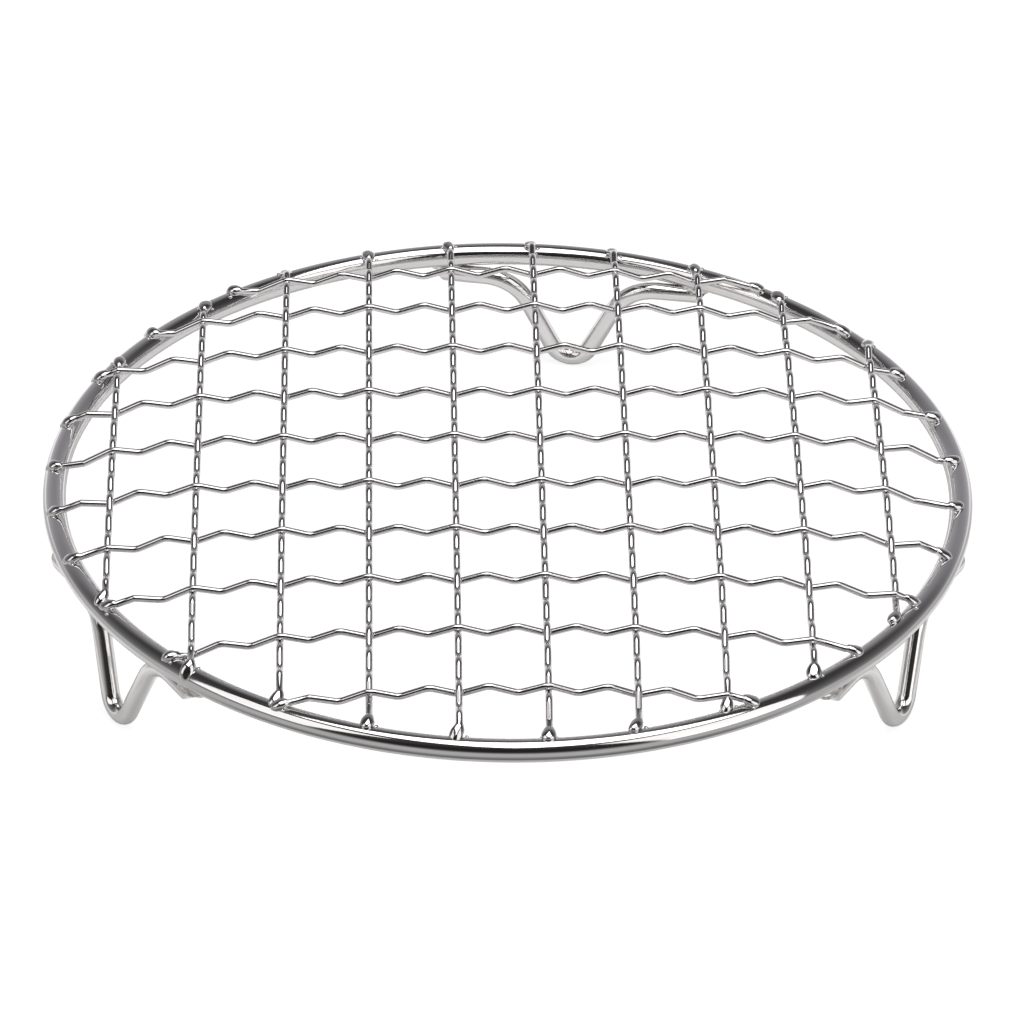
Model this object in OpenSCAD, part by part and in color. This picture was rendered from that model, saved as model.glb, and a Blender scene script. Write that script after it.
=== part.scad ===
// Round cooling rack: a thick rim ring, a domed square mesh of crimped wires welded on top of it,
// and three V-shaped feet welded under it. All of it is bent stainless-steel wire.
// Frame: +Z up, the table is z = 0, the rack's centre is the Z axis, and -Y is the front.

/* [Rim] */
// Outer diameter of the rim ring
rim_outer_d = 200; // [190:1:210]
// Thickness of the rim wire
rim_wire_d = 5; // [4.5:0.1:5.5]
// Height of the rim wire's centre above the table
rim_height = 27.2; // [24:0.2:30]

/* [Mesh] */
// Thickness of a mesh wire
mesh_wire_d = 1.5; // [1.3:0.1:1.7]
// Distance between neighbouring long wires
long_pitch = 18.4; // [18.2:0.1:18.8]
// Distance between neighbouring cross wires
cross_pitch = 18; // [17.8:0.1:18.4]
// How far the mesh rises in the middle above its welded ends
dome_rise = 7.2; // [5:0.2:8]
// How sharply the dome turns down near the rim
dome_power = 5; // [3:1:6]
// Turn of the mesh about the vertical axis, in degrees
mesh_turn = 1.4; // [-3:0.1:3]
// How far the cross wires are out of square with the long wires, in degrees
mesh_skew = 0.6; // [-1:0.1:1]
// Sideways offset of the mesh from the rack's centre
mesh_shift_x = -2.3; // [-2.5:0.1:2.5]
// Front-to-back offset of the mesh from the rack's centre
mesh_shift_y = -3.4; // [-3.8:0.1:3.8]
// Bend radius of a long wire's crimps, at the wire's centre line
long_bend_r = 2; // [1.2:0.1:2.2]
// Bend radius of a cross wire's crimps, at the wire's centre line
cross_bend_r = 3.5; // [1.4:0.1:4]
// Bend radius where a mesh wire comes down to the rim
end_bend_r = 1.4; // [1.2:0.1:2]
// Diameter of the fused head at each end of a mesh wire
head_d = 2.5; // [2.2:0.1:2.8]

/* [Feet] */
// Thickness of a foot wire
foot_wire_d = 4; // [3.7:0.1:4.3]
// Distance of a foot's two arms from the rack's centre
foot_reach = 93.3; // [93:0.1:94.5]
// Length of a foot from one arm end to the other
foot_length = 63; // [60:1:66]
// How much shorter the front arm of each side foot is
front_arm_cut = 1.8; // [0:0.1:2.2]
// Angle between a leg of the V and the V's middle line, in degrees
leg_angle = 25.5; // [24:0.5:27]
// Outward lean of the V, in degrees
foot_lean = 6.2; // [0:0.2:7]
// Bend radius at the bottom of the V, at the wire's centre line
tip_bend_r = 4.6; // [4:0.1:5]
// Bend radius between a leg and its arm, at the wire's centre line
shoulder_bend_r = 11; // [9:0.5:13]
// Diameter of a weld nugget between an arm and the rim
nugget_d = 3.6; // [3:0.1:4]

/* [Hidden] */
$fn = 24;
WIRES = 10;
LONG_HALF_WAVES = 5;
CROSS_HALF_WAVES = 3;
NUMBERS = ["01", "02", "03", "04", "05", "06", "07", "08", "09", "10"];
FEET = ["foot_back", "foot_left", "foot_right"];
FOOT_ANGLES = [81.6, 211.4, 330.7];
FOOT_CUTS = [[0, 0], [0, 1], [1, 0]];

rim_r = (rim_outer_d - rim_wire_d) / 2;
crimp_clearance = 0.03;
weld_bite = 0.8;
weld_z = rim_height + (rim_wire_d + mesh_wire_d) / 2 - weld_bite;
end_run_min = 3.4;
arm_bite = 0.1;
arm_z = rim_height - (rim_wire_d + foot_wire_d) / 2 + arm_bite;
tip_depth = (arm_z - foot_wire_d / 2) / cos(foot_lean);
leg_depth = tip_depth + tip_bend_r * (1 / sin(leg_angle) - 1);
leg_spread = leg_depth * tan(leg_angle);
arm_half = foot_length / 2;
weld_along = sqrt(rim_r * rim_r - foot_reach * foot_reach);
collar = 1.03;
run_overlap = 0.1;

// Helpers for a wire bent in one plane, whose path is a list of [along, up] corners
function unit(v) = v / norm(v);
function heading(v) = atan2(v[1], v[0]);
function turn_at(p, i) = heading(p[i + 1] - p[i]) - heading(p[i] - p[i - 1]);
function is_end(p, i) = i == 0 || i == len(p) - 1;
function trim_at(p, i, r) = is_end(p, i) ? 0 : r * tan(abs(turn_at(p, i)) / 2) - run_overlap;

module straight_run(path, i, wire_d, radii) {
    run = path[i + 1] - path[i];
    start = path[i] + unit(run) * trim_at(path, i, radii[i]);
    length = norm(run) - trim_at(path, i, radii[i]) - trim_at(path, i + 1, radii[i + 1]);
    translate([start[0], 0, start[1]])
        rotate([0, 90 - heading(run), 0])
            cylinder(h = length, d = wire_d);
}

module round_bend(path, i, wire_d, r) {
    angle = turn_at(path, i);
    run = unit(path[i] - path[i - 1]);
    start = path[i] - run * r * tan(abs(angle) / 2);
    centre = start + sign(angle) * r * [-run[1], run[0]];
    first = heading(start - centre) + min(angle, 0);
    translate([centre[0], 0, centre[1]])
        rotate([90, 0, 0])
            rotate([0, 0, first])
                rotate_extrude(angle = abs(angle))
                    translate([r, 0])
                        circle(d = wire_d * collar);
}

module bent_wire(path, wire_d, radii) {
    last = len(path) - 1;
    for (i = [0 : last - 1]) straight_run(path, i, wire_d, radii);
    for (i = [1 : last - 1]) round_bend(path, i, wire_d, radii[i]);
}

// A mesh wire lies in one upright plane, at a distance across from the rack's centre. Its corners
// follow the dome, alternately a little above and a little below it, one to each half wave. A
// corner stands out by crimp_rise, so that the rounded bend rises by half a wire's thickness: that
// sets the slope at which the straight between two bends touches them both.
function crimp_slope(half_wave, bend_r) =
    let (lift = mesh_wire_d / 2 + crimp_clearance,
         drop = 2 * (bend_r - lift))
    asin(2 * bend_r / norm([half_wave, drop])) - atan2(drop, half_wave);
function crimp_rise(half_wave, bend_r) = half_wave * tan(crimp_slope(half_wave, bend_r)) / 2;
function dome_z(x, y) = weld_z + dome_rise * (1 - pow(norm([x, y]) / rim_r, dome_power));
function crimp_path(across, crossing, half_wave, phase, bend_r) =
    let (half = sqrt(rim_r * rim_r - across * across),
         reach = half - end_run_min,
         n_first = ceil((-reach - crossing) / half_wave),
         n_last = floor((reach - crossing) / half_wave),
         rise = crimp_rise(half_wave, bend_r))
    concat([[-half, weld_z]],
        [for (n = [n_first : n_last]) let (along = crossing + n * half_wave)
            [along, dome_z(across, along) + rise * ((n + phase) % 2 == 0 ? 1 : -1)]],
        [[half, weld_z]]);

module mesh_wire(across, crossing, half_wave, phase, bend_r) {
    path = crimp_path(across, crossing, half_wave, phase, bend_r);
    last = len(path) - 1;
    radii = [for (i = [0 : last]) i == 1 || i == last - 1 ? end_bend_r : bend_r];
    bent_wire(path, mesh_wire_d, radii);
    for (end = [path[0], path[last]])
        translate([end[0], 0, end[1]]) sphere(d = head_d);
}

// Wire k is counted from the left for long wires and from the back for cross wires. A cross wire
// passes over a long wire where the sum of their numbers is even. crossing is where a wire meets
// the first wire of the other set, measured along it.
function middle_offset(k) = k - (WIRES + 1) / 2;
function long_x(k) = mesh_shift_x + middle_offset(k) * long_pitch;
function cross_y(k) = mesh_shift_y - middle_offset(k) * cross_pitch;

module long_wire(k) {
    crossing = cross_y(WIRES) + long_x(k) * tan(mesh_skew);
    half_wave = cross_pitch / LONG_HALF_WAVES;
    color("silver")
        rotate([0, 0, mesh_turn])
            translate([long_x(k), 0, 0])
                rotate([0, 0, 90])
                    mesh_wire(long_x(k), crossing, half_wave, WIRES + k + 1, long_bend_r);
}

module cross_wire(k) {
    across = cross_y(k) * cos(mesh_skew);
    crossing = long_x(1) / cos(mesh_skew) + cross_y(k) * sin(mesh_skew);
    half_wave = long_pitch / CROSS_HALF_WAVES;
    color("gainsboro")
        rotate([0, 0, mesh_turn + mesh_skew])
            translate([0, across, 0])
                mesh_wire(across, crossing, half_wave, k + 1, cross_bend_r);
}

module rim_ring() {
    color("lightgray")
        translate([0, 0, rim_height])
            rotate_extrude()
                translate([rim_r, 0])
                    circle(d = rim_wire_d);
}

// Puts a foot's own plane, with the arms' centre line on its X axis, under the rim
module at_foot(angle) {
    rotate([0, 0, angle])
        translate([foot_reach, 0, arm_z])
            rotate([0, -foot_lean, 0])
                rotate([0, 0, 90])
                    children();
}

// cuts says which of the two arm ends is cut short
module foot(angle, cuts) {
    start = [-arm_half + cuts[0] * front_arm_cut, 0];
    end = [arm_half - cuts[1] * front_arm_cut, 0];
    path = [start, [-leg_spread, 0], [0, -leg_depth], [leg_spread, 0], end];
    radii = [0, shoulder_bend_r, tip_bend_r, shoulder_bend_r, 0];
    color("darkgray") at_foot(angle) bent_wire(path, foot_wire_d, radii);
}

module foot_welds() {
    color("dimgray")
        for (angle = FOOT_ANGLES, side = [-1, 1])
            rotate([0, 0, angle])
                translate([foot_reach, side * weld_along, rim_height - rim_wire_d / 2])
                    sphere(d = nugget_d);
}

rim_ring();
for (k = [1 : WIRES]) {
    long_wire(k);
    cross_wire(k);
}
for (i = [0 : len(FEET) - 1]) {
    foot(FOOT_ANGLES[i], FOOT_CUTS[i]);
}
foot_welds();
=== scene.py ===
import math
import random

import bpy
from mathutils import Matrix, Vector, noise


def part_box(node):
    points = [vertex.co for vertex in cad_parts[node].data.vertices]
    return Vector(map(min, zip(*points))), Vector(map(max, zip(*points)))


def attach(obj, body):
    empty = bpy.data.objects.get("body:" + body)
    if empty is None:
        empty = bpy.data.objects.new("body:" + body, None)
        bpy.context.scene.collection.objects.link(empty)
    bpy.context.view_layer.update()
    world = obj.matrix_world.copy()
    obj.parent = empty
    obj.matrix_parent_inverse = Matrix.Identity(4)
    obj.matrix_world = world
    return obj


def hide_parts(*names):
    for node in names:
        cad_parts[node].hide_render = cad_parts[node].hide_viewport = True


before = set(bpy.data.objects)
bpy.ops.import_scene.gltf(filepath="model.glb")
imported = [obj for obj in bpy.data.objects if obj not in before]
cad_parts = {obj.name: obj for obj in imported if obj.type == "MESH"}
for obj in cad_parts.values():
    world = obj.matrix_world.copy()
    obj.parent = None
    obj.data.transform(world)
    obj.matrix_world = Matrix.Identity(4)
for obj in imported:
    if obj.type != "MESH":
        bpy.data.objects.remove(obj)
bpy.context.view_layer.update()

# ------------------------------------------------------------------ rim
# The rim is one ring of thick round stainless wire. It carries the mesh on top and the feet below.
# It was bent from straight drawn wire, so fine draw lines run all the way round it.
MM = 0.001
rim_low, rim_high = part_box("rim_ring")
RIM_WIRE_R = (rim_high.z - rim_low.z) / 2
RIM_R = (rim_high.x - rim_low.x) / 2 - RIM_WIRE_R
RIM_Z = (rim_high.z + rim_low.z) / 2
RIM_SIDES = 40
RIM_STEPS = 300
MERGE_GAP = 0.00001 * MM


def lay_lengthwise_map(piece, measure, girth):
    """Unwraps a wire so that U runs along it and V round it, both in metres.

    measure gives (length, wrap) at a corner; girth is the wrap's full turn."""
    piece_map = piece.data.uv_layers.new(name="along_wire")
    for face in piece.data.polygons:
        _, middle_wrap = measure(face.center, face.normal)
        for loop in face.loop_indices:
            corner = piece.data.vertices[piece.data.loops[loop].vertex_index]
            length, wrap = measure(corner.co, corner.normal)
            wrap -= girth * round((wrap - middle_wrap) / girth)
            piece_map.data[loop].uv = (length, wrap)


def smooth_piece(piece, crease_angle):
    """Points the faces outwards and shades the piece smooth, but for edges sharper than the angle."""
    bpy.ops.object.select_all(action="DESELECT")
    piece.select_set(True)
    bpy.context.view_layer.objects.active = piece
    bpy.ops.object.mode_set(mode="EDIT")
    bpy.ops.mesh.select_all(action="SELECT")
    bpy.ops.mesh.remove_doubles(threshold=MERGE_GAP)
    bpy.ops.mesh.normals_make_consistent(inside=False)
    bpy.ops.object.mode_set(mode="OBJECT")
    bpy.ops.object.shade_smooth_by_angle(angle=crease_angle)


bpy.ops.object.select_all(action="DESELECT")
bpy.ops.mesh.primitive_circle_add(
    vertices=RIM_SIDES, radius=RIM_WIRE_R, location=(RIM_R, 0, RIM_Z), rotation=(math.pi / 2, 0, 0)
)
rim = bpy.context.object
rim.name = rim.data.name = "rim"
bpy.ops.object.transform_apply(location=True, rotation=True, scale=True)
bpy.ops.object.mode_set(mode="EDIT")
bpy.ops.mesh.select_all(action="SELECT")
bpy.ops.mesh.spin(steps=RIM_STEPS, angle=2 * math.pi, center=(0, 0, RIM_Z), axis=(0, 0, 1))
bpy.ops.object.mode_set(mode="OBJECT")
smooth_piece(rim, math.pi)


def rim_measure(point, normal):
    """Length round the ring and wrap round its wire."""
    outward = point.xy.length - RIM_R
    wrap = math.atan2(point.z - RIM_Z, outward) * RIM_WIRE_R
    return math.atan2(point.y, point.x) * RIM_R, wrap


lay_lengthwise_map(rim, rim_measure, 2 * math.pi * RIM_WIRE_R)


def group_with(name, inputs, outputs):
    """Starts an empty shader group. inputs and outputs are (socket type, name, default)."""
    group = bpy.data.node_groups.new(name, "ShaderNodeTree")
    for kind, label, default in inputs:
        socket = group.interface.new_socket(label, in_out="INPUT", socket_type=kind)
        if default is not None:
            socket.default_value = default
    for kind, label in outputs:
        group.interface.new_socket(label, in_out="OUTPUT", socket_type=kind)
    return group, group.nodes.new("NodeGroupInput"), group.nodes.new("NodeGroupOutput")


FLOAT, VECTOR = "NodeSocketFloat", "NodeSocketVector"

# Draw lines: long narrow grooves that the drawing die leaves along a wire.
draw_lines, lines_in, lines_out = group_with(
    "draw_lines",
    [(VECTOR, "Along Wire", None), (FLOAT, "Lines per Metre", 4000.0), (FLOAT, "Stretch", 120.0)],
    [(FLOAT, "Height"), (FLOAT, "Streak")],
)
stretch_in = draw_lines.nodes.new("ShaderNodeCombineXYZ")
narrow = draw_lines.nodes.new("ShaderNodeVectorMath")
narrow.operation = "MULTIPLY"
fine_lines = draw_lines.nodes.new("ShaderNodeTexNoise")
fine_lines.inputs["Scale"].default_value = 1.0
fine_lines.inputs["Detail"].default_value = 3.0
broad_narrow = draw_lines.nodes.new("ShaderNodeVectorMath")
broad_narrow.operation = "MULTIPLY"
broad_narrow.inputs[1].default_value = (0.3, 0.2, 1.0)
broad_lines = draw_lines.nodes.new("ShaderNodeTexNoise")
broad_lines.inputs["Scale"].default_value = 1.0
broad_lines.inputs["Detail"].default_value = 1.0
for source, target in (
    (lines_in.outputs["Stretch"], stretch_in.inputs["X"]),
    (lines_in.outputs["Lines per Metre"], stretch_in.inputs["Y"]),
    (lines_in.outputs["Along Wire"], narrow.inputs[0]),
    (stretch_in.outputs["Vector"], narrow.inputs[1]),
    (narrow.outputs["Vector"], fine_lines.inputs["Vector"]),
    (narrow.outputs["Vector"], broad_narrow.inputs[0]),
    (broad_narrow.outputs["Vector"], broad_lines.inputs["Vector"]),
    (fine_lines.outputs["Fac"], lines_out.inputs["Height"]),
    (broad_lines.outputs["Fac"], lines_out.inputs["Streak"]),
):
    draw_lines.links.new(source, target)

# Handling marks: cloudy smudges and a few short scratches that lie at any angle.
handling_marks, marks_in, marks_out = group_with(
    "handling_marks",
    [(VECTOR, "Place", None), (FLOAT, "Smudge Scale", 60.0), (FLOAT, "Scratch Scale", 220.0)],
    [(FLOAT, "Smudge"), (FLOAT, "Scratch")],
)
smudges = handling_marks.nodes.new("ShaderNodeTexNoise")
smudges.inputs["Detail"].default_value = 5.0
smudges.inputs["Roughness"].default_value = 0.6
scratch_cells = handling_marks.nodes.new("ShaderNodeTexVoronoi")
scratch_cells.feature = "DISTANCE_TO_EDGE"
scratch_thin = handling_marks.nodes.new("ShaderNodeMapRange")
scratch_thin.inputs["From Min"].default_value = 0.0
scratch_thin.inputs["From Max"].default_value = 0.02
scratch_thin.inputs["To Min"].default_value = 1.0
scratch_thin.inputs["To Max"].default_value = 0.0
for source, target in (
    (marks_in.outputs["Place"], smudges.inputs["Vector"]),
    (marks_in.outputs["Smudge Scale"], smudges.inputs["Scale"]),
    (marks_in.outputs["Place"], scratch_cells.inputs["Vector"]),
    (marks_in.outputs["Scratch Scale"], scratch_cells.inputs["Scale"]),
    (scratch_cells.outputs["Distance"], scratch_thin.inputs["Value"]),
    (smudges.outputs["Fac"], marks_out.inputs["Smudge"]),
    (scratch_thin.outputs["Result"], marks_out.inputs["Scratch"]),
):
    handling_marks.links.new(source, target)


def wire_steel(name, clean, dull, rough_low, rough_high, lines_per_metre, line_depth, scratch_depth):
    """Stainless wire: draw lines along it, smudges that change its gloss, and faint scratches.

    A clean streak has the clean colour, and the smudges move the roughness from low to high."""
    steel = bpy.data.materials.new(name)
    steel.use_nodes = True
    tree = steel.node_tree
    shader = tree.nodes["Principled BSDF"]
    shader.inputs["Metallic"].default_value = 1.0
    wire_map = tree.nodes.new("ShaderNodeUVMap")
    wire_map.uv_map = "along_wire"
    place = tree.nodes.new("ShaderNodeTexCoord")
    lines = tree.nodes.new("ShaderNodeGroup")
    lines.node_tree = draw_lines
    lines.inputs["Lines per Metre"].default_value = lines_per_metre
    marks = tree.nodes.new("ShaderNodeGroup")
    marks.node_tree = handling_marks
    colour = tree.nodes.new("ShaderNodeMix")
    colour.data_type = "RGBA"
    colour.inputs["A"].default_value = (*dull, 1.0)
    colour.inputs["B"].default_value = (*clean, 1.0)
    gloss = tree.nodes.new("ShaderNodeMapRange")
    gloss.inputs["From Min"].default_value = 0.3
    gloss.inputs["From Max"].default_value = 0.7
    gloss.inputs["To Min"].default_value = rough_low
    gloss.inputs["To Max"].default_value = rough_high
    groove = tree.nodes.new("ShaderNodeBump")
    groove.inputs["Strength"].default_value = 1.0
    groove.inputs["Distance"].default_value = line_depth
    nick = tree.nodes.new("ShaderNodeBump")
    nick.invert = True
    nick.inputs["Strength"].default_value = 1.0
    nick.inputs["Distance"].default_value = scratch_depth
    for source, target in (
        (wire_map.outputs["UV"], lines.inputs["Along Wire"]),
        (place.outputs["Object"], marks.inputs["Place"]),
        (lines.outputs["Streak"], colour.inputs["Factor"]),
        (colour.outputs["Result"], shader.inputs["Base Color"]),
        (marks.outputs["Smudge"], gloss.inputs["Value"]),
        (gloss.outputs["Result"], shader.inputs["Roughness"]),
        (lines.outputs["Height"], groove.inputs["Height"]),
        (marks.outputs["Scratch"], nick.inputs["Height"]),
        (groove.outputs["Normal"], nick.inputs["Normal"]),
        (nick.outputs["Normal"], shader.inputs["Normal"]),
    ):
        tree.links.new(source, target)
    return steel


rim_steel = wire_steel(
    "rim_steel",
    clean=(0.79, 0.778, 0.782),
    dull=(0.65, 0.64, 0.645),
    rough_low=0.04,
    rough_high=0.11,
    lines_per_metre=3000.0,
    line_depth=0.0006 * MM,
    scratch_depth=0.0006 * MM,
)
rim.data.materials.append(rim_steel)
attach(rim, "root")
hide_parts("rim_ring")

# ----------------------------------------------------------- mesh wires
# The mesh is ten long and ten cross wires of thin round stainless wire, each crimped up and down,
# so that they lock where they cross. Their ends are pressed into blunt heads on top of the rim
# and welded there.
LONG_PITCH = 18.4 * MM
CROSS_PITCH = 18.0 * MM
# Half-waves from one crossing to the next
LONG_HALF_WAVES = 5
CROSS_HALF_WAVES = 3
MESH_WIRE_R = 0.75 * MM
MESH_TURN = math.radians(1.4)
MESH_SKEW = math.radians(0.6)
CRIMP_LIFT = 0.78 * MM
LONG_BEND_R = 2.0 * MM
CROSS_BEND_R = 3.5 * MM
END_BEND_R = 1.0 * MM
END_RUN = 3.4 * MM
DOME_RISE = 7.2 * MM
DOME_POWER = 5
WELD_Z = RIM_Z + 2.45 * MM
MESH_SIDES = 16
CRIMP_STEPS = 5
MESH_CREASE = math.radians(50)
WIRES = range(1, 11)

# Each section of a pressed end: along the wire past where it stops, half its width and half its
# thickness, in millimetres
HEAD_SECTIONS = (
    (-2.10, 0.92, 0.80),
    (-1.70, 1.12, 0.88),
    (-1.30, 1.30, 0.95),
    (-0.90, 1.43, 1.00),
    (-0.45, 1.50, 1.03),
    (0.00, 1.50, 1.02),
    (0.45, 1.42, 0.96),
    (0.80, 1.26, 0.86),
    (1.08, 1.02, 0.71),
    (1.28, 0.74, 0.52),
    (1.38, 0.42, 0.30),
)
HEAD_START = 2.4 * MM
HEAD_LIFT = 0.3 * MM
# The mesh was cut a little short and sits a little to the left, so its ends pass the rim's middle
# circle by different amounts: (first end, last end), where a wire's first end is front or left
LONG_OVERHANG = (-1.1 * MM, -0.4 * MM)
SECOND_LONG_OVERHANG = (1.2 * MM, -0.4 * MM)
CROSS_OVERHANG = (0.8 * MM, -0.7 * MM)
# How wide the heads are pressed and how far they lean, each as its least and its most
HEAD_WIDTHS = (0.9, 1.1)
FIRST_LEAN = (-0.05, 0.4)
LAST_LEAN = (-0.2, 0.2)
HEAD_SEED = 41
# How far out from the rim's middle circle its top still carries a head or a bead
TOP_SHARE = 0.9
BEAD_SHARE = 0.8
# Lumps on a head: where it swells from, how high they stand, how many there are per metre, and
# how far their pattern moves from one wire to the next for the distance between the wires
HEAD_CORE = 0.3 * MM
HEAD_LUMPS = 0.13 * MM
BROAD_LUMPS = 900
FINE_LUMPS = 2500
FINE_SHARE = 0.4
LUMP_SHIFT = 3
# Spatter beads, in millimetres: their radius, and where they lie along and beside a wire's end;
# then how far each is drawn out along its length and its width, and flattened
BEAD_R = (0.28, 0.5)
BEAD_ALONG = (-1.2, 0.4)
BEAD_BESIDE = (1.3, 1.8)
BEAD_LENGTH = (0.9, 1.7)
BEAD_WIDTH = (0.8, 1.2)
BEAD_FLATNESS = 0.75


def extrude_to(here, there):
    """Extrudes the selected end face in a straight run."""
    bpy.ops.mesh.extrude_region_move(TRANSFORM_OT_translate={"value": there - here})
    return there


def bend_wire(name, corners, wire_r, bend_rs, sides, bend_steps):
    """Draws a round wire along its corners: straight runs extruded, bends spun. Stays in edit mode."""
    first_run = (corners[1] - corners[0]).normalized()
    bpy.ops.object.select_all(action="DESELECT")
    bpy.ops.mesh.primitive_circle_add(
        vertices=sides,
        radius=wire_r,
        fill_type="NGON",
        location=corners[0],
        rotation=first_run.to_track_quat("Z", "Y").to_euler(),
    )
    wire = bpy.context.object
    wire.name = wire.data.name = name
    bpy.ops.object.transform_apply(location=True, rotation=True, scale=True)
    bpy.ops.object.mode_set(mode="EDIT")
    bpy.ops.mesh.select_mode(type="FACE")
    bpy.ops.mesh.select_all(action="SELECT")
    here = corners[0]
    for corner, after, bend_r in zip(corners[1:-1], corners[2:], bend_rs):
        way_in = (corner - here).normalized()
        way_out = (after - corner).normalized()
        turn = way_in.angle(way_out)
        cut_back = bend_r * math.tan(turn / 2)
        here = extrude_to(here, corner - way_in * cut_back)
        hinge = way_in.cross(way_out).normalized()
        bend_centre = here + hinge.cross(way_in) * bend_r
        bpy.ops.mesh.spin(steps=bend_steps, angle=turn, center=bend_centre, axis=-hinge)
        here = corner + way_out * cut_back
    extrude_to(here, corners[-1])
    return wire


def pick_face(piece, point):
    """Leaves only the face nearest the point selected, in edit mode."""
    bpy.ops.mesh.select_all(action="DESELECT")
    bpy.ops.object.mode_set(mode="OBJECT")
    nearest = min(piece.data.polygons, key=lambda face: (face.center - point).length)
    nearest.select = True
    bpy.ops.object.mode_set(mode="EDIT")


def rim_drop(aside, along, sideways):
    """How far the rim's surface has dropped from its crest, outside its middle circle."""
    past = math.hypot(along, aside + sideways) - RIM_R
    past = max(0.0, min(past, TOP_SHARE * RIM_WIRE_R))
    return RIM_WIRE_R - math.sqrt(RIM_WIRE_R**2 - past**2)


def press_head(start, way_out, aside, width, lean):
    """Presses the selected wire end into a blunt head that lies over the rim.

    way_out is the way the wire runs there, and aside how far it runs from the rim's middle."""
    here = start
    half_width = half_height = MESH_WIRE_R
    stop = start + way_out * (HEAD_START / abs(way_out.x))
    for outward, wide, high in HEAD_SECTIONS:
        there = stop + way_out * (outward * MM)
        there.y = lean * (outward * MM + HEAD_START)
        there.z += HEAD_LIFT - rim_drop(aside, there.x, there.y)
        extrude_to(here, there)
        wide *= MM * width
        high *= MM
        growth = (1, wide / half_width, high / half_height)
        bpy.ops.transform.resize(value=growth, center_override=there)
        here = there
        half_width = wide
        half_height = high


def crimp_corners(across, crossing, half_wave, phase, bend_r, overhang):
    """Corners of a crimped wire laid along X: it rises over and dips under at each half-wave."""
    half_length = math.sqrt(RIM_R**2 - across**2)
    stops = [half_length + past for past in overhang]
    drop = 2 * (bend_r - CRIMP_LIFT)
    slope = math.asin(2 * bend_r / math.hypot(half_wave, drop)) - math.atan2(drop, half_wave)
    rise = half_wave * math.tan(slope) / 2
    first = math.ceil((END_RUN - stops[0] - crossing) / half_wave)
    last = math.floor((stops[1] - END_RUN - crossing) / half_wave)
    corners = [Vector((-stops[0], 0, WELD_Z))]
    for wave in range(first, last + 1):
        along = crossing + wave * half_wave
        dome = WELD_Z + DOME_RISE * (1 - (math.hypot(across, along) / RIM_R) ** DOME_POWER)
        up_or_down = 1 if (wave + phase) % 2 == 0 else -1
        corners.append(Vector((along, 0, dome + up_or_down * rise)))
    corners.append(Vector((stops[1], 0, WELD_Z)))
    return corners, stops


def add_spatter(wire, places, draws):
    """Sets small frozen beads of weld spatter on the rim beside a head, as part of the wire."""
    beads = []
    for place in places:
        bpy.ops.object.select_all(action="DESELECT")
        bpy.ops.mesh.primitive_ico_sphere_add(
            subdivisions=2, radius=draws.uniform(*BEAD_R) * MM, location=place
        )
        bead = bpy.context.object
        bead.scale = (draws.uniform(*BEAD_LENGTH), draws.uniform(*BEAD_WIDTH), BEAD_FLATNESS)
        bead.rotation_euler = (0, 0, draws.uniform(0, math.pi))
        bpy.ops.object.transform_apply(location=True, rotation=True, scale=True)
        beads.append(bead)
    for bead in beads:
        bead.select_set(True)
    wire.select_set(True)
    bpy.context.view_layer.objects.active = wire
    bpy.ops.object.join()


def lump_head(wire, side, stop, shift):
    """Makes the surface of a head uneven. side is -1 or 1, and shift moves the lumps' pattern."""
    middle = Vector((side * (stop - HEAD_CORE), 0, WELD_Z))
    for vertex in wire.data.vertices:
        if side * vertex.co.x > stop - HEAD_START:
            place = vertex.co + shift
            ripple = noise.noise(place * BROAD_LUMPS) + FINE_SHARE * noise.noise(place * FINE_LUMPS)
            vertex.co += (vertex.co - middle).normalized() * HEAD_LUMPS * ripple


def spatter_places(side, stop, aside, draws):
    """Picks a place on the rim on both flanks of a head, where the rim's top is wide enough."""
    places = []
    for flank in (-1, 1):
        along = side * (stop + draws.uniform(*BEAD_ALONG) * MM)
        sideways = flank * draws.uniform(*BEAD_BESIDE) * MM
        past = math.hypot(along, aside + sideways) - RIM_R
        if abs(past) < BEAD_SHARE * RIM_WIRE_R:
            rim_surface = RIM_Z + math.sqrt(RIM_WIRE_R**2 - past**2)
            places.append(Vector((along, sideways, rim_surface)))
    return places


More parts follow.
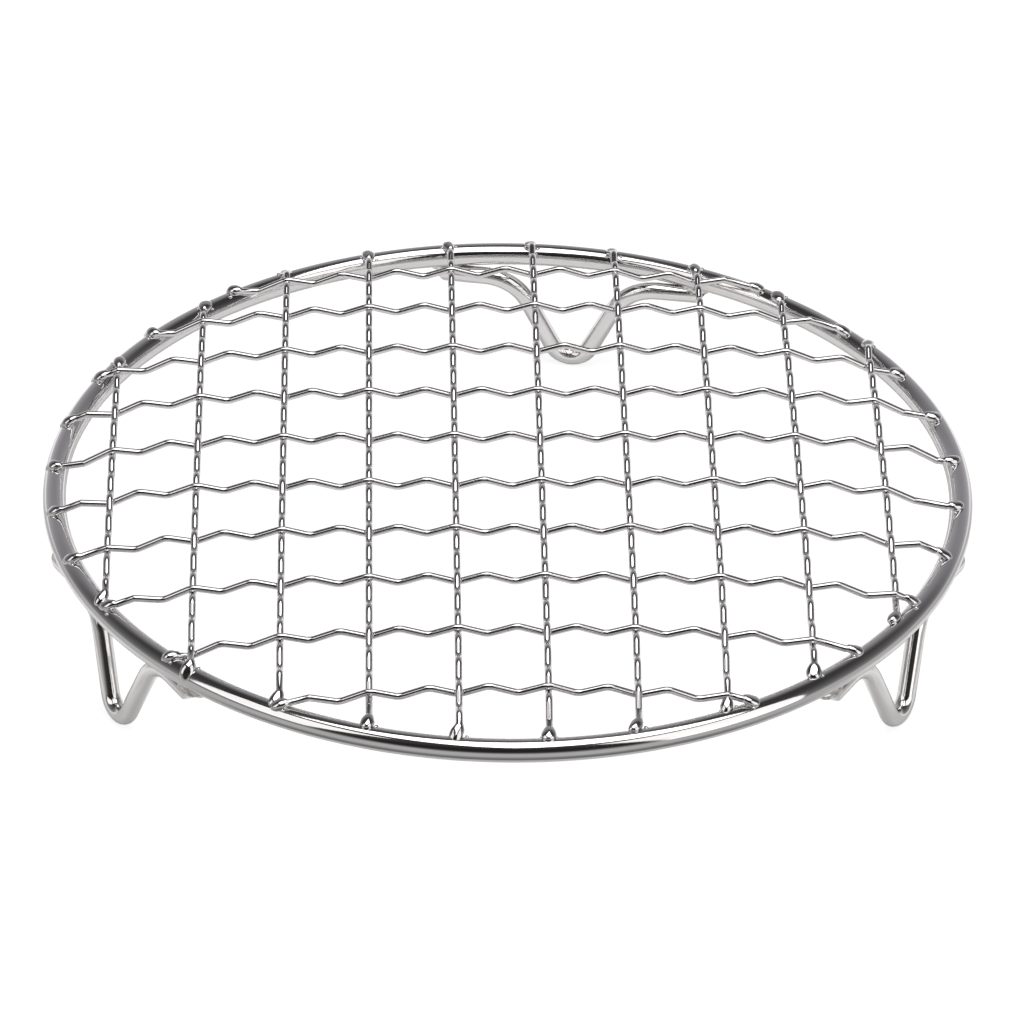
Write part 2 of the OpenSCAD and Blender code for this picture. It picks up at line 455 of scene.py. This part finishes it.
def mesh_wire(name, across, aside, crossing, half_wave, phase, bend_r, overhang, placing, draws):
    """One crimped wire with its two pressed ends, made along X and then put in its place."""
    corners, stops = crimp_corners(across, crossing, half_wave, phase, bend_r, overhang)
    ways_out = {}
    for end, inner in ((0, 1), (-1, -2)):
        ways_out[end] = (corners[end] - corners[inner]).normalized()
        corners[end] = corners[end] - ways_out[end] * (HEAD_START / abs(ways_out[end].x))
    bend_rs = [bend_r] * (len(corners) - 2)
    bend_rs[0] = bend_rs[-1] = END_BEND_R
    wire = bend_wire(f"{name}_crimped", corners, MESH_WIRE_R, bend_rs, MESH_SIDES, CRIMP_STEPS)
    press_head(
        corners[-1], ways_out[-1], aside, draws.uniform(*HEAD_WIDTHS), draws.uniform(*LAST_LEAN)
    )
    pick_face(wire, corners[0])
    press_head(
        corners[0], ways_out[0], aside, draws.uniform(*HEAD_WIDTHS), draws.uniform(*FIRST_LEAN)
    )
    bpy.ops.object.mode_set(mode="OBJECT")
    smooth_piece(wire, MESH_CREASE)
    shift = Vector((0, aside * LUMP_SHIFT, 0))
    spatter = []
    for side, stop in ((-1, stops[0]), (1, stops[1])):
        lump_head(wire, side, stop, shift)
        spatter += spatter_places(side, stop, aside, draws)
    add_spatter(wire, spatter, draws)
    smooth_piece(wire, MESH_CREASE)

    def wire_measure(point, normal):
        return point.x, math.atan2(normal.y, normal.z) * MESH_WIRE_R

    lay_lengthwise_map(wire, wire_measure, 2 * math.pi * MESH_WIRE_R)
    wire.matrix_world = placing
    bpy.ops.object.transform_apply(location=True, rotation=True, scale=True)
    wire.data.materials.append(mesh_steel)
    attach(wire, "root")
    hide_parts(name)


def signed_offset(node, axis):
    """How far a wire's middle lies from the rim's middle, with its sign along X (0) or Y (1)."""
    low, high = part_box(node)
    middle = (low + high) / 2
    return math.copysign(middle.xy.length, middle[axis])


mesh_steel = wire_steel(
    "mesh_steel",
    clean=(0.72, 0.71, 0.715),
    dull=(0.60, 0.59, 0.60),
    rough_low=0.04,
    rough_high=0.09,
    lines_per_metre=7000.0,
    line_depth=0.0003 * MM,
    scratch_depth=0.0004 * MM,
)
first_long_x = signed_offset("long_wire_01", 0)
last_cross_y = signed_offset("cross_wire_10", 1) / math.cos(MESH_SKEW)
head_draws = random.Random(HEAD_SEED)

# Long wires are counted from the left and cross wires from the back. A cross wire passes over a
# long wire where the sum of their numbers is even, which sets the phase of both.
for number in WIRES:
    name = f"long_wire_{number:02d}"
    across = signed_offset(name, 0)
    crossing = last_cross_y + across * math.tan(MESH_SKEW)
    placing = Matrix.Rotation(MESH_TURN, 4, "Z") @ Matrix.Translation((across, 0, 0))
    placing = placing @ Matrix.Rotation(math.pi / 2, 4, "Z")
    mesh_wire(
        name,
        across,
        aside=-across,
        crossing=crossing,
        half_wave=CROSS_PITCH / LONG_HALF_WAVES,
        phase=len(WIRES) + 1 + number,
        bend_r=LONG_BEND_R,
        overhang=SECOND_LONG_OVERHANG if number == 2 else LONG_OVERHANG,
        placing=placing,
        draws=head_draws,
    )
for number in WIRES:
    name = f"cross_wire_{number:02d}"
    across = signed_offset(name, 1)
    crossing = first_long_x / math.cos(MESH_SKEW) + across * math.tan(MESH_SKEW)
    placing = Matrix.Rotation(MESH_TURN + MESH_SKEW, 4, "Z") @ Matrix.Translation((0, across, 0))
    mesh_wire(
        name,
        across,
        aside=across,
        crossing=crossing,
        half_wave=LONG_PITCH / CROSS_HALF_WAVES,
        phase=number + 1,
        bend_r=CROSS_BEND_R,
        overhang=CROSS_OVERHANG,
        placing=placing,
        draws=head_draws,
    )

# ----------------------------------------------------------------- feet
# Each of the three feet is a piece of thick round stainless wire, bent into a V between two
# straight arms. The arms lie under the rim as a chord and are welded to it where they cross it.
FOOT_WIRE_R = 2.0 * MM
FOOT_REACH = 93.3 * MM
ARM_HALF = 31.5 * MM
FRONT_ARM_CUT = 1.8 * MM
END_SHEAR = math.radians(34)
BURR_R = 0.2 * MM
ARM_Z = RIM_Z - 4.4 * MM
LEG_ANGLE = math.radians(25.5)
FOOT_LEAN = math.radians(6.2)
TIP_BEND_R = 4.6 * MM
SHOULDER_BEND_R = 11.0 * MM
FOOT_SIDES = 28
FOOT_BEND_STEPS = 12
FOOT_CREASE = math.radians(35)
TIP_DEPTH = (ARM_Z - FOOT_WIRE_R) / math.cos(FOOT_LEAN)
LEG_DEPTH = TIP_DEPTH + TIP_BEND_R * (1 / math.sin(LEG_ANGLE) - 1)
LEG_SPREAD = LEG_DEPTH * math.tan(LEG_ANGLE)
# Where each foot stands round the rim, in degrees, and which of its two ends are cut short
FEET = {"foot_back": (81.6, 0, 0), "foot_left": (211.4, 0, 1), "foot_right": (330.7, 1, 0)}

foot_steel = wire_steel(
    "foot_steel",
    clean=(0.82, 0.81, 0.812),
    dull=(0.68, 0.67, 0.672),
    rough_low=0.05,
    rough_high=0.11,
    lines_per_metre=3000.0,
    line_depth=0.0006 * MM,
    scratch_depth=0.0008 * MM,
)
foot_corners = [
    Vector((-ARM_HALF, 0, 0)),
    Vector((-LEG_SPREAD, 0, 0)),
    Vector((0, 0, -LEG_DEPTH)),
    Vector((LEG_SPREAD, 0, 0)),
    Vector((ARM_HALF, 0, 0)),
]


def foot_measure(point, normal):
    """Length along the foot's path, and wrap taken from which way the surface faces."""
    best = None
    passed = 0.0
    for start, end in zip(foot_corners, foot_corners[1:]):
        run = end - start
        share = max(0.0, min(1.0, (point - start).dot(run) / run.length_squared))
        gap = (start + run * share - point).length
        if best is None or gap < best[0]:
            best = (gap, passed + run.length * share, run.normalized())
        passed += run.length
    side = Vector((0, 1, 0))
    up = best[2].cross(side)
    return best[1], math.atan2(normal.dot(side), normal.dot(up)) * FOOT_WIRE_R


def shear_end(foot, side, cut):
    """Cuts an arm's end off at a slant, as a bolt cutter does, and rounds the burr.

    side is -1 or 1, and cut is how much shorter the arm gets."""
    bpy.ops.object.mode_set(mode="EDIT")
    bpy.ops.mesh.select_all(action="SELECT")
    bpy.ops.mesh.bisect(
        plane_co=(side * (ARM_HALF - cut - BURR_R), 0, FOOT_WIRE_R),
        plane_no=(side * math.cos(END_SHEAR), 0, -math.sin(END_SHEAR)),
        use_fill=True,
        clear_outer=True,
    )
    bpy.ops.mesh.select_mode(type="FACE")
    bpy.ops.mesh.bevel(offset=BURR_R, segments=2, affect="EDGES")
    bpy.ops.object.mode_set(mode="OBJECT")


for name, (angle, first_cut, last_cut) in FEET.items():
    foot = bend_wire(
        f"{name}_bent",
        foot_corners,
        FOOT_WIRE_R,
        [SHOULDER_BEND_R, TIP_BEND_R, SHOULDER_BEND_R],
        FOOT_SIDES,
        FOOT_BEND_STEPS,
    )
    bpy.ops.object.mode_set(mode="OBJECT")
    shear_end(foot, -1, first_cut * FRONT_ARM_CUT)
    shear_end(foot, 1, last_cut * FRONT_ARM_CUT)
    smooth_piece(foot, FOOT_CREASE)
    lay_lengthwise_map(foot, foot_measure, 2 * math.pi * FOOT_WIRE_R)
    foot.matrix_world = (
        Matrix.Rotation(math.radians(angle), 4, "Z")
        @ Matrix.Translation((FOOT_REACH, 0, ARM_Z))
        @ Matrix.Rotation(-FOOT_LEAN, 4, "Y")
        @ Matrix.Rotation(math.pi / 2, 4, "Z")
    )
    bpy.ops.object.transform_apply(location=True, rotation=True, scale=True)
    foot.data.materials.append(foot_steel)
    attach(foot, "root")
    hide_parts(name)

# ----------------------------------------------------------- foot welds
# A small lump of weld metal joins the rim and a foot's arm at each of the six crossings.
# Each lump froze as it fell, so it is uneven, and the heat left it duller than the wire.
NUGGET_R = 1.9 * MM
NUGGET_STRETCH = 2.0
NUGGET_SHRINK = 0.96
# Lumps on a nugget: how many there are per metre, and how high they stand for its radius
NUGGET_LUMPS = ((700, 0.22), (2200, 0.08))
WELD_ALONG = math.sqrt(RIM_R**2 - FOOT_REACH**2)
WELD_HEIGHT = RIM_Z - 2.5 * MM

lumps = []
for angle, _, _ in FEET.values():
    for side in (-1, 1):
        place = Matrix.Rotation(math.radians(angle), 4, "Z") @ Vector(
            (FOOT_REACH, side * WELD_ALONG, WELD_HEIGHT)
        )
        bpy.ops.object.select_all(action="DESELECT")
        bpy.ops.mesh.primitive_ico_sphere_add(subdivisions=4, radius=NUGGET_R, location=place)
        lump = bpy.context.object
        lump.scale = (1.0, NUGGET_STRETCH, 1.0)
        lump.rotation_euler = (0, 0, math.atan2(place.y, place.x))
        bpy.ops.object.transform_apply(location=True, rotation=True, scale=True)
        for vertex in lump.data.vertices:
            away = vertex.co - place
            ripple = sum(noise.noise(vertex.co * count) * height for count, height in NUGGET_LUMPS)
            vertex.co = place + away * (NUGGET_SHRINK + ripple)
        lumps.append(lump)
bpy.ops.object.select_all(action="DESELECT")
for lump in lumps:
    lump.select_set(True)
bpy.context.view_layer.objects.active = lumps[0]
bpy.ops.object.join()
welds = bpy.context.object
welds.name = welds.data.name = "foot_weld_lumps"
smooth_piece(welds, math.pi)

weld_metal = bpy.data.materials.new("weld_metal")
weld_metal.use_nodes = True
weld_shader = weld_metal.node_tree.nodes["Principled BSDF"]
weld_shader.inputs["Metallic"].default_value = 1.0
weld_place = weld_metal.node_tree.nodes.new("ShaderNodeTexCoord")
weld_marks = weld_metal.node_tree.nodes.new("ShaderNodeGroup")
weld_marks.node_tree = handling_marks
weld_marks.inputs["Smudge Scale"].default_value = 900.0
weld_tint = weld_metal.node_tree.nodes.new("ShaderNodeValToRGB")
weld_tint.color_ramp.elements[0].position = 0.35
weld_tint.color_ramp.elements[0].color = (0.46, 0.44, 0.42, 1.0)
weld_tint.color_ramp.elements[1].position = 0.65
weld_tint.color_ramp.elements[1].color = (0.78, 0.77, 0.75, 1.0)
weld_gloss = weld_metal.node_tree.nodes.new("ShaderNodeMapRange")
weld_gloss.inputs["To Min"].default_value = 0.30
weld_gloss.inputs["To Max"].default_value = 0.12
weld_skin = weld_metal.node_tree.nodes.new("ShaderNodeBump")
weld_skin.inputs["Distance"].default_value = 0.08 * MM
for source, target in (
    (weld_place.outputs["Object"], weld_marks.inputs["Place"]),
    (weld_marks.outputs["Smudge"], weld_tint.inputs["Fac"]),
    (weld_tint.outputs["Color"], weld_shader.inputs["Base Color"]),
    (weld_marks.outputs["Smudge"], weld_gloss.inputs["Value"]),
    (weld_gloss.outputs["Result"], weld_shader.inputs["Roughness"]),
    (weld_marks.outputs["Smudge"], weld_skin.inputs["Height"]),
    (weld_skin.outputs["Normal"], weld_shader.inputs["Normal"]),
):
    weld_metal.node_tree.links.new(source, target)
welds.data.materials.append(weld_metal)
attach(welds, "root")
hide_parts("foot_welds")

# --------------------------------------------------------------- studio
# The rack stands on a plain white table, under one large soft box overhead and a smaller one on
# each side. To the metal the table shows painted light and shade: white near the rack, darker in front of
# it, bright behind.
TABLE_SIZE = 40.0
# A painted shade of the rim on the table, seen only by the metal: place, as a share of SHADE_REACH, and
# brightness
SHADE_REACH = 0.2
RIM_SHADE = ((0.42, 1.0), (0.468, 0.75), (0.505, 0.75), (0.545, 1.0))

bpy.ops.object.select_all(action="DESELECT")
bpy.ops.mesh.primitive_plane_add(size=TABLE_SIZE, location=(0, 0, 0))
table = bpy.context.object
table.name = "white_table"


def set_stops(ramp, stops, tint):
    """Gives a colour ramp its stops, each a (place, brightness), all in one tint."""
    while len(ramp.elements) < len(stops):
        ramp.elements.new(0.5)
    for element, (place, brightness) in zip(ramp.elements, stops):
        element.position = place
        element.color = (*(brightness * part for part in tint), 1.0)


table_white = bpy.data.materials.new("table_white")
table_white.use_nodes = True
tree = table_white.node_tree
tree.nodes.remove(tree.nodes["Principled BSDF"])
paint = tree.nodes.new("ShaderNodeBsdfDiffuse")
paint.inputs["Color"].default_value = (0.45, 0.45, 0.45, 1.0)
own_light = tree.nodes.new("ShaderNodeEmission")
own_light.inputs["Strength"].default_value = 0.8
seen = tree.nodes.new("ShaderNodeAddShader")
# What the metal mirrors: the lit table with a faint painted glow near the rack, and a plain painted glow far
# off
mirrored_lit = tree.nodes.new("ShaderNodeBsdfDiffuse")
mirrored_glow = tree.nodes.new("ShaderNodeEmission")
glow_level = tree.nodes.new("ShaderNodeMath")
glow_level.operation = "MULTIPLY"
glow_level.inputs[1].default_value = 0.16
mirrored = tree.nodes.new("ShaderNodeAddShader")
# Painted shade of the rim: the table is darker in a ring under the rim where the metal sees it
shade_place = tree.nodes.new("ShaderNodeMapRange")
shade_place.inputs["From Max"].default_value = SHADE_REACH
rim_shade = tree.nodes.new("ShaderNodeValToRGB")
rim_shade.color_ramp.interpolation = "EASE"
set_stops(rim_shade.color_ramp, RIM_SHADE, (1.0, 1.0, 1.0))
shaded = tree.nodes.new("ShaderNodeMath")
shaded.operation = "MULTIPLY"
mirrored_far = tree.nodes.new("ShaderNodeEmission")
mirrored_all = tree.nodes.new("ShaderNodeMixShader")
spot = tree.nodes.new("ShaderNodeTexCoord")
from_middle = tree.nodes.new("ShaderNodeVectorMath")
from_middle.operation = "LENGTH"
way = tree.nodes.new("ShaderNodeVectorMath")
way.operation = "NORMALIZE"
way_parts = tree.nodes.new("ShaderNodeSeparateXYZ")
outward = tree.nodes.new("ShaderNodeMapRange")
past_rim = tree.nodes.new("ShaderNodeMapRange")
# Painted shade: the table, as the metal sees it, is darker in front of the rack
front_painted_shade = tree.nodes.new("ShaderNodeMapRange")
# Painted light: the table, as the metal sees it, glows brighter far behind the rack
back_painted_glow = tree.nodes.new("ShaderNodeMapRange")
# The first two fade with the distance from the middle in metres, the last two with how far back
# the way from the middle points, from -1 in front to 1 behind
for fade, start, end, at_start, at_end in (
    (outward, 0.116, 0.155, 0.0, 1.0),
    (past_rim, 0.1, 0.114, 0.0, 1.0),
    (front_painted_shade, -0.9, -0.3, 0.2, 1.0),
    (back_painted_glow, 0.3, 0.75, 0.52, 1.05),
):
    fade.interpolation_type = "SMOOTHSTEP"
    fade.inputs["From Min"].default_value = start
    fade.inputs["From Max"].default_value = end
    fade.inputs["To Min"].default_value = at_start
    fade.inputs["To Max"].default_value = at_end
near_level = tree.nodes.new("ShaderNodeMix")
near_level.inputs["A"].default_value = 1.0
rays = tree.nodes.new("ShaderNodeLightPath")
which = tree.nodes.new("ShaderNodeMixShader")
for source, target in (
    (paint.outputs["BSDF"], seen.inputs[0]),
    (own_light.outputs["Emission"], seen.inputs[1]),
    (spot.outputs["Object"], from_middle.inputs[0]),
    (spot.outputs["Object"], way.inputs[0]),
    (way.outputs["Vector"], way_parts.inputs["Vector"]),
    (from_middle.outputs["Value"], outward.inputs["Value"]),
    (from_middle.outputs["Value"], past_rim.inputs["Value"]),
    (way_parts.outputs["Y"], front_painted_shade.inputs["Value"]),
    (way_parts.outputs["Y"], back_painted_glow.inputs["Value"]),
    (past_rim.outputs["Result"], near_level.inputs["Factor"]),
    (front_painted_shade.outputs["Result"], near_level.inputs["B"]),
    (from_middle.outputs["Value"], shade_place.inputs["Value"]),
    (shade_place.outputs["Result"], rim_shade.inputs["Fac"]),
    (rim_shade.outputs["Color"], shaded.inputs[0]),
    (near_level.outputs["Result"], shaded.inputs[1]),
    (shaded.outputs["Value"], mirrored_lit.inputs["Color"]),
    (shaded.outputs["Value"], glow_level.inputs[0]),
    (glow_level.outputs["Value"], mirrored_glow.inputs["Strength"]),
    (mirrored_lit.outputs["BSDF"], mirrored.inputs[0]),
    (mirrored_glow.outputs["Emission"], mirrored.inputs[1]),
    (back_painted_glow.outputs["Result"], mirrored_far.inputs["Strength"]),
    (outward.outputs["Result"], mirrored_all.inputs["Fac"]),
    (mirrored.outputs["Shader"], mirrored_all.inputs[1]),
    (mirrored_far.outputs["Emission"], mirrored_all.inputs[2]),
    (rays.outputs["Is Glossy Ray"], which.inputs["Fac"]),
    (seen.outputs["Shader"], which.inputs[1]),
    (mirrored_all.outputs["Shader"], which.inputs[2]),
    (which.outputs["Shader"], tree.nodes["Material Output"].inputs["Surface"]),
):
    tree.links.new(source, target)
table.data.materials.append(table_white)
LAMP_TINT = (1.0, 0.985, 0.965)


def soft_box(name, toward, distance, width, height, radiance):
    """A rectangular soft light that shines at the rack from the given direction."""
    light = bpy.data.lights.new(name, "AREA")
    light.shape = "RECTANGLE"
    light.size = width
    light.size_y = height
    light.color = LAMP_TINT
    light.energy = radiance * math.pi * width * height
    lamp = bpy.data.objects.new(name, light)
    lamp.location = toward.normalized() * distance
    lamp.rotation_euler = toward.to_track_quat("Z", "Y").to_euler()
    lamp.visible_camera = False
    bpy.context.scene.collection.objects.link(lamp)


def heading(azimuth, elevation):
    """Unit vector toward an azimuth, counted from +X, and an elevation, in degrees."""
    flat = math.cos(math.radians(elevation))
    return Vector(
        (
            flat * math.cos(math.radians(azimuth)),
            flat * math.sin(math.radians(azimuth)),
            math.sin(math.radians(elevation)),
        )
    )


soft_box("overhead_box", heading(312, 85), distance=1.2, width=0.94, height=0.94, radiance=2.8)
soft_box("left_box", heading(211, 36), distance=1.4, width=0.78, height=1.15, radiance=1.25)
soft_box("right_box", heading(322, 28), distance=1.4, width=0.9, height=1.45, radiance=1.3)

# ----------------------------------------------------------------- room
# The room is white to the camera and grey to the metal. It is brightest low down behind the rack,
# greyer on both sides, and dark above the table's edge in front, where the camera stands.
room = bpy.data.worlds.new("white_room")
bpy.context.scene.world = room
room.use_nodes = True
tree = room.node_tree
tree.nodes.remove(tree.nodes["Background"])
direction = tree.nodes.new("ShaderNodeTexCoord")
parts = tree.nodes.new("ShaderNodeSeparateXYZ")
lift = tree.nodes.new("ShaderNodeMapRange")
lift.inputs["From Min"].default_value = -1.0
# Each wall's tint and its brightness by height, where 0.5 is level and 1 is straight up
BACK_WALL = ((0.4, 0.95), (0.5, 0.62), (0.56, 0.52), (0.63, 0.42), (0.72, 0.35), (0.82, 0.27), (0.91, 0.16))
SIDE_WALL = ((0.4, 0.34), (0.5, 0.33), (0.57, 0.24), (0.66, 0.15), (0.78, 0.10), (0.86, 0.06), (0.94, 0.04))
FRONT_WALL = ((0.4, 0.40), (0.5, 0.40), (0.55, 0.28), (0.59, 0.13), (0.63, 0.04), (0.72, 0.02), (0.90, 0.02))
WALLS = {
    "back": ((1.0, 0.985, 1.02), (*BACK_WALL, (1.0, 0.3))),
    "side": ((1.0, 0.98, 1.0), (*SIDE_WALL, (1.0, 0.2))),
    "front": ((1.0, 0.96, 0.92), (*FRONT_WALL, (1.0, 0.2))),
}
walls = {}
for wall, (tint, stops) in WALLS.items():
    walls[wall] = tree.nodes.new("ShaderNodeValToRGB")
    set_stops(walls[wall].color_ramp, stops, tint)
behind = tree.nodes.new("ShaderNodeMapRange")
ahead = tree.nodes.new("ShaderNodeMapRange")
for turn_in, start, end in ((behind, 0.4, 0.85), (ahead, -0.5, -0.8)):
    turn_in.interpolation_type = "SMOOTHSTEP"
    turn_in.inputs["From Min"].default_value = start
    turn_in.inputs["From Max"].default_value = end
side_and_back = tree.nodes.new("ShaderNodeMix")
side_and_back.data_type = "RGBA"
all_round = tree.nodes.new("ShaderNodeMix")
all_round.data_type = "RGBA"
grey_room = tree.nodes.new("ShaderNodeBackground")
white_room = tree.nodes.new("ShaderNodeBackground")
white_room.inputs["Color"].default_value = (1.0, 1.0, 1.0, 1.0)
room_rays = tree.nodes.new("ShaderNodeLightPath")
room_which = tree.nodes.new("ShaderNodeMixShader")
for source, target in (
    (direction.outputs["Generated"], parts.inputs["Vector"]),
    (parts.outputs["Z"], lift.inputs["Value"]),
    (lift.outputs["Result"], walls["back"].inputs["Fac"]),
    (lift.outputs["Result"], walls["side"].inputs["Fac"]),
    (lift.outputs["Result"], walls["front"].inputs["Fac"]),
    (parts.outputs["Y"], behind.inputs["Value"]),
    (parts.outputs["Y"], ahead.inputs["Value"]),
    (behind.outputs["Result"], side_and_back.inputs["Factor"]),
    (walls["side"].outputs["Color"], side_and_back.inputs["A"]),
    (walls["back"].outputs["Color"], side_and_back.inputs["B"]),
    (ahead.outputs["Result"], all_round.inputs["Factor"]),
    (side_and_back.outputs["Result"], all_round.inputs["A"]),
    (walls["front"].outputs["Color"], all_round.inputs["B"]),
    (all_round.outputs["Result"], grey_room.inputs["Color"]),
    (room_rays.outputs["Is Camera Ray"], room_which.inputs["Fac"]),
    (grey_room.outputs["Background"], room_which.inputs[1]),
    (white_room.outputs["Background"], room_which.inputs[2]),
    (room_which.outputs["Shader"], tree.nodes["World Output"].inputs["Surface"]),
):
    tree.links.new(source, target)
bpy.context.scene.view_settings.view_transform = "Standard"

# --------------------------------------------------------------- camera
# A long lens looks down on the rack from the front, held very slightly turned.
CAMERA_LIFT = math.radians(33.36)
CAMERA_ROLL = math.radians(0.756)
CAMERA_DISTANCE = 1.503
AIM = Vector((0.96 * MM, -9.05 * MM, 27.2 * MM))
LENS_MM = 246.6
SENSOR_MM = 36.0

camera_data = bpy.data.cameras.new("camera")
camera_data.lens = LENS_MM
camera_data.sensor_width = SENSOR_MM
camera_data.clip_start = 0.1
camera_data.clip_end = 100.0
camera = bpy.data.objects.new("camera", camera_data)
bpy.context.scene.collection.objects.link(camera)
backward = Vector((0, -math.cos(CAMERA_LIFT), math.sin(CAMERA_LIFT)))
sideways = Vector((1, 0, 0))
upward = backward.cross(sideways)
turned_side = sideways * math.cos(CAMERA_ROLL) + upward * math.sin(CAMERA_ROLL)
turned_up = upward * math.cos(CAMERA_ROLL) - sideways * math.sin(CAMERA_ROLL)
stand = AIM + backward * CAMERA_DISTANCE
camera.matrix_world = Matrix(
    (
        (turned_side.x, turned_up.x, backward.x, stand.x),
        (turned_side.y, turned_up.y, backward.y, stand.y),
        (turned_side.z, turned_up.z, backward.z, stand.z),
        (0, 0, 0, 1),
    )
)
bpy.context.scene.camera = camera
